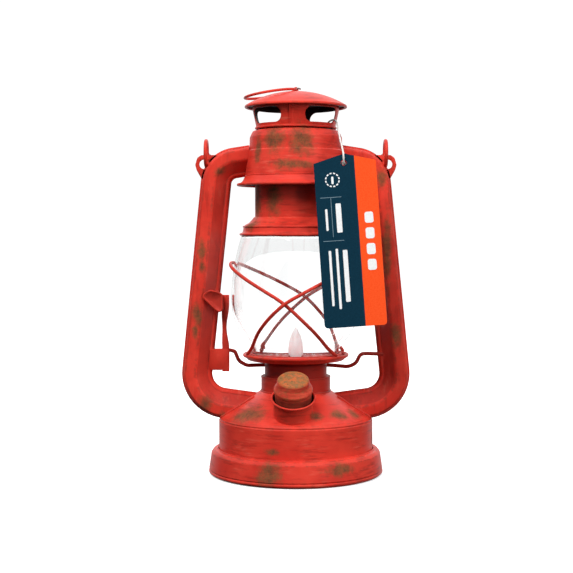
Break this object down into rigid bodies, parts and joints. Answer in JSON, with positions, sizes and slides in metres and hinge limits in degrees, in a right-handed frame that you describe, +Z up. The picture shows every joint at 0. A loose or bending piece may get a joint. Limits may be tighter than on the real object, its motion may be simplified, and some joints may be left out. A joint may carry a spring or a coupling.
{
  "type": "lantern",
  "caption": "Hurricane-style lantern: round tank base, glass globe on a lifting plate, two side tubes, vented hood with lift ring, bail, dimmer knob and hang tag.",
  "frame": {"origin": "centre of the base, on the surface it stands on", "axes": "+Z up along the globe's axis; the dimmer knob faces -Y; the lift strap is on the -X side tube"},
  "size_m": [0.1438, 0.1702, 0.2426],
  "materials": {
    "red_paint": "satin, worn",
    "dark_red_paint": "satin",
    "inner_black": "matte",
    "knob_worn_paint": "satin, worn",
    "clear_glass": "clear",
    "flame_white": "frosted",
    "black_plastic": "matte",
    "board_green": "satin",
    "bright_steel": "brushed",
    "cell_jacket": "gloss",
    "tag_card": "printed card",
    "string_white": "twisted thread"
  },
  "bodies": {
    "frame": {"tank": "red_paint", "base_skirt": "red_paint", "tank_floor": "red_paint", "battery_tray": "black_plastic", "battery_cells": "cell_jacket", "contact_springs": "bright_steel", "contact_strips": "bright_steel", "driver_board": "board_green", "board_components": "black_plastic", "board_screws": "bright_steel", "led_leads": "string_white", "burner_collar": "red_paint", "burner_gallery": "red_paint", "burner_deck": "dark_red_paint", "flame_stem": "flame_white", "led_emitter": "flame_white", "flame_diffuser": "flame_white", "left_tube_front": "red_paint", "left_tube_rear": "red_paint", "right_tube_front": "red_paint", "right_tube_rear": "red_paint", "left_ear": "red_paint", "right_ear": "red_paint", "crown": "red_paint", "bell_flange": "red_paint", "hood_guide": "inner_black", "dimmer_socket": "red_paint", "dimmer_potentiometer": "black_plastic", "dimmer_nut": "bright_steel"},
    "globe_carrier": {"globe_plate": "red_paint", "globe": "clear_glass", "guard_wire_left": "red_paint", "guard_wire_right": "red_paint", "globe_crossbar": "dark_red_paint", "lift_strap": "red_paint"},
    "hood": {"globe_holder": "red_paint", "neck_tube": "red_paint", "chimney_tube": "inner_black", "vent_drum": "red_paint", "cap": "red_paint", "ring_staple": "red_paint", "hang_tag": "tag_card", "tag_string": "string_white", "string_knot": "string_white"},
    "lift_ring": {"lift_ring": "red_paint"},
    "bail": {"bail": "red_paint"},
    "dimmer_knob": {"dimmer_knob": "knob_worn_paint", "dimmer_shaft": "bright_steel"},
    "battery_door": {"battery_door": "black_plastic"}
  },
  "joints": [
    {"name": "globe_lift", "type": "slide", "parent": "frame", "child": "globe_carrier", "axis": [0, 0, 1], "range_m": [0, 0.006]},
    {"name": "hood_lift", "type": "slide", "parent": "globe_carrier", "child": "hood", "axis": [0, 0, 1], "range_m": [0, 0.009]},
    {"name": "lift_ring_hinge", "type": "hinge", "parent": "hood", "child": "lift_ring", "pos_m": [0, 0, 0.241], "axis": [0, 1, 0], "range_deg": [0, 162]},
    {"name": "bail_hinge", "type": "hinge", "parent": "frame", "child": "bail", "pos_m": [0, 0, 0.2014], "axis": [1, 0, 0], "range_deg": [0, 180]},
    {"name": "dimmer_turn", "type": "hinge", "parent": "frame", "child": "dimmer_knob", "pos_m": [-0.0015, -0.036, 0.0431], "axis": [0, -0.4337, 0.9011], "range_deg": [0, 270]},
    {"name": "battery_door_twist", "type": "hinge", "parent": "frame", "child": "battery_door", "pos_m": [0, 0, 0.004], "axis": [0, 0, 1], "range_deg": [0, 30]}
  ]
}
